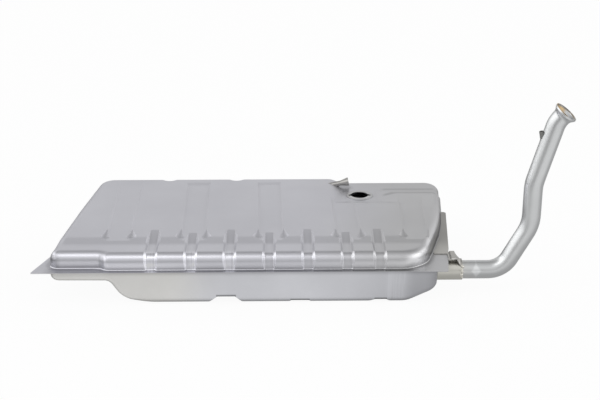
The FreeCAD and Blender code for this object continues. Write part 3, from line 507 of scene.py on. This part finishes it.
def graded(value, stops):
    """Grey that follows a value through stops of position and level."""
    node = value.id_data.nodes.new("ShaderNodeValToRGB")
    feed(node.inputs["Fac"], value)
    ramp = node.color_ramp
    ramp.interpolation = "EASE"
    while len(ramp.elements) < len(stops):
        ramp.elements.new(0.5)
    for stop, (position, level) in zip(ramp.elements, stops):
        stop.position = position
        stop.color = (level, level, level, 1)
    return node.outputs["Color"]


floor_white = bpy.data.materials.new("floor_white")
floor_white.use_nodes = True
floor_nodes = floor_white.node_tree.nodes
paper = floor_nodes["Principled BSDF"]
paper.inputs["Base Color"].default_value = (0.90, 0.90, 0.90, 1)
paper.inputs["Roughness"].default_value = 0.9
paper.inputs["Specular IOR Level"].default_value = 0.0
glow = floor_nodes.new("ShaderNodeEmission")
glow.inputs["Color"].default_value = (1, 1, 1, 1)
rays = floor_nodes.new("ShaderNodeLightPath").outputs
on_floor = split(place_on(floor_white.node_tree))

# For glossy rays the floor glows in painted reflections for the metal: bands that run beside the tank, dark
# as painted shadow under it, with a patch of its own at the right, and over both a fall from left to right.
first_band_y = -1.0
band_levels = ((0.25, 0.40), (0.60, 1.0), (0.735, 1.0), (0.80, 0.30))       # metres from there
bands = graded(reckoned("SUBTRACT", on_floor["Y"], first_band_y), band_levels)
right_fade_y = (-0.60, -0.20)
right_levels = (1.08, 0.56)
right_patch = faded(on_floor["Y"], right_fade_y, right_levels)
rightward_x = (0.10, 0.45)
patches = mixed(faded(on_floor["X"], rightward_x), bands, right_patch, "FLOAT")
fall_span_x = (-1.0, 1.0)
fall_levels = ((0.05, 0.42), (0.20, 1.0), (0.47, 0.80), (0.80, 0.69))
fall_gain = 1.25
fall = reckoned("MULTIPLY", graded(faded(on_floor["X"], fall_span_x, way="LINEAR"), fall_levels), fall_gain)
mirror_level = reckoned("MULTIPLY", patches, fall)
mirror_level.node.use_clamp = True
mirrored = reckoned("SUBTRACT", 1.0, rays["Is Camera Ray"])
feed(glow.inputs["Strength"], mixed(mirrored, 1.0, mirror_level, "FLOAT"))

glow_share = 0.94
seen_or_mirrored = reckoned("MAXIMUM", rays["Is Camera Ray"], rays["Is Glossy Ray"])
blend = floor_nodes.new("ShaderNodeMixShader")
feed(blend.inputs["Fac"], reckoned("MULTIPLY", seen_or_mirrored, glow_share))
feed(blend.inputs[1], paper.outputs["BSDF"])
feed(blend.inputs[2], glow.outputs["Emission"])
feed(floor_nodes["Material Output"].inputs["Surface"], blend.outputs["Shader"])

floor_mesh = bmesh.new()
bmesh.ops.create_grid(floor_mesh, x_segments=1, y_segments=1, size=9.0)
floor_data = bpy.data.meshes.new("floor")
floor_mesh.to_mesh(floor_data)
floor_mesh.free()
floor = bpy.data.objects.new("floor", floor_data)
bpy.context.scene.collection.objects.link(floor)
gap_under_belly = 0.0005
floor.location.z = -gap_under_belly
floor.data.materials.append(floor_white)

room = bpy.data.worlds.new("light_room")
bpy.context.scene.world = room
room.use_nodes = True
room_nodes = room.node_tree.nodes
toward = split(room_nodes.new("ShaderNodeTexCoord").outputs["Generated"])
rear_levels = ((0.0, 0.84), (0.08, 0.60), (0.15, 0.44), (0.30, 0.76),
               (0.49, 0.80), (0.64, 0.60), (0.86, 0.30), (1.0, 0.56))
front_levels = ((0.0, 0.48), (0.26, 0.62), (0.50, 0.84), (0.78, 0.84), (1.0, 0.62))
front_to_rear = (-0.30, 0.30)
rear_side = graded(toward["Z"], rear_levels)
front_side = graded(toward["Z"], front_levels)
sides = mixed(faded(toward["Y"], front_to_rear), front_side, rear_side)
end_to_end = (-1.0, 1.0)
end_levels = (1.04, 1.0)
panel_edge = (0.58, 0.84)
panel_levels = (1.0, 2.4)
across = faded(toward["X"], end_to_end, end_levels, way="LINEAR")
end_panels = faded(reckoned("ABSOLUTE", toward["X"]), panel_edge, panel_levels)
room_light = scaled(sides, reckoned("MULTIPLY", across, end_panels))
seen_room = room_nodes.new("ShaderNodeLightPath").outputs["Is Camera Ray"]
backdrop_white = (1, 1, 1, 1)
sky = room_nodes["Background"]
feed(sky.inputs["Color"], mixed(seen_room, room_light, backdrop_white))
sky.inputs["Strength"].default_value = 1.0

softbox = bpy.data.lights.new("front_left_softbox", "AREA")
softbox.shape = "RECTANGLE"
softbox.size = 1.7
softbox.size_y = 1.1
softbox.energy = 7.0
softbox_object = bpy.data.objects.new("front_left_softbox", softbox)
softbox_object.location = (-0.95, -1.35, 2.2)
softbox_object.rotation_euler = (math.radians(25.0), math.radians(-18.0), 0.0)
bpy.context.scene.collection.objects.link(softbox_object)


# Camera. Its place and lens are fitted to the edges of the body and the neck in the photograph.
# It looks 21 degrees down on the deck and stands nearly square to the front edge.

look_down = 21.0
look_aside = -0.8
camera = bpy.data.cameras.new("photo_camera")
camera.sensor_width = 36.0
camera.lens = 73.0
camera.clip_end = 60.0
camera_object = bpy.data.objects.new("photo_camera", camera)
camera_object.location = (0.0412, -2.8716, 1.2736)
camera_object.rotation_euler = (math.radians(90.0 - look_down), 0.0, math.radians(look_aside))
bpy.context.scene.collection.objects.link(camera_object)
bpy.context.scene.camera = camera_object
bpy.context.scene.view_settings.view_transform = "Standard"
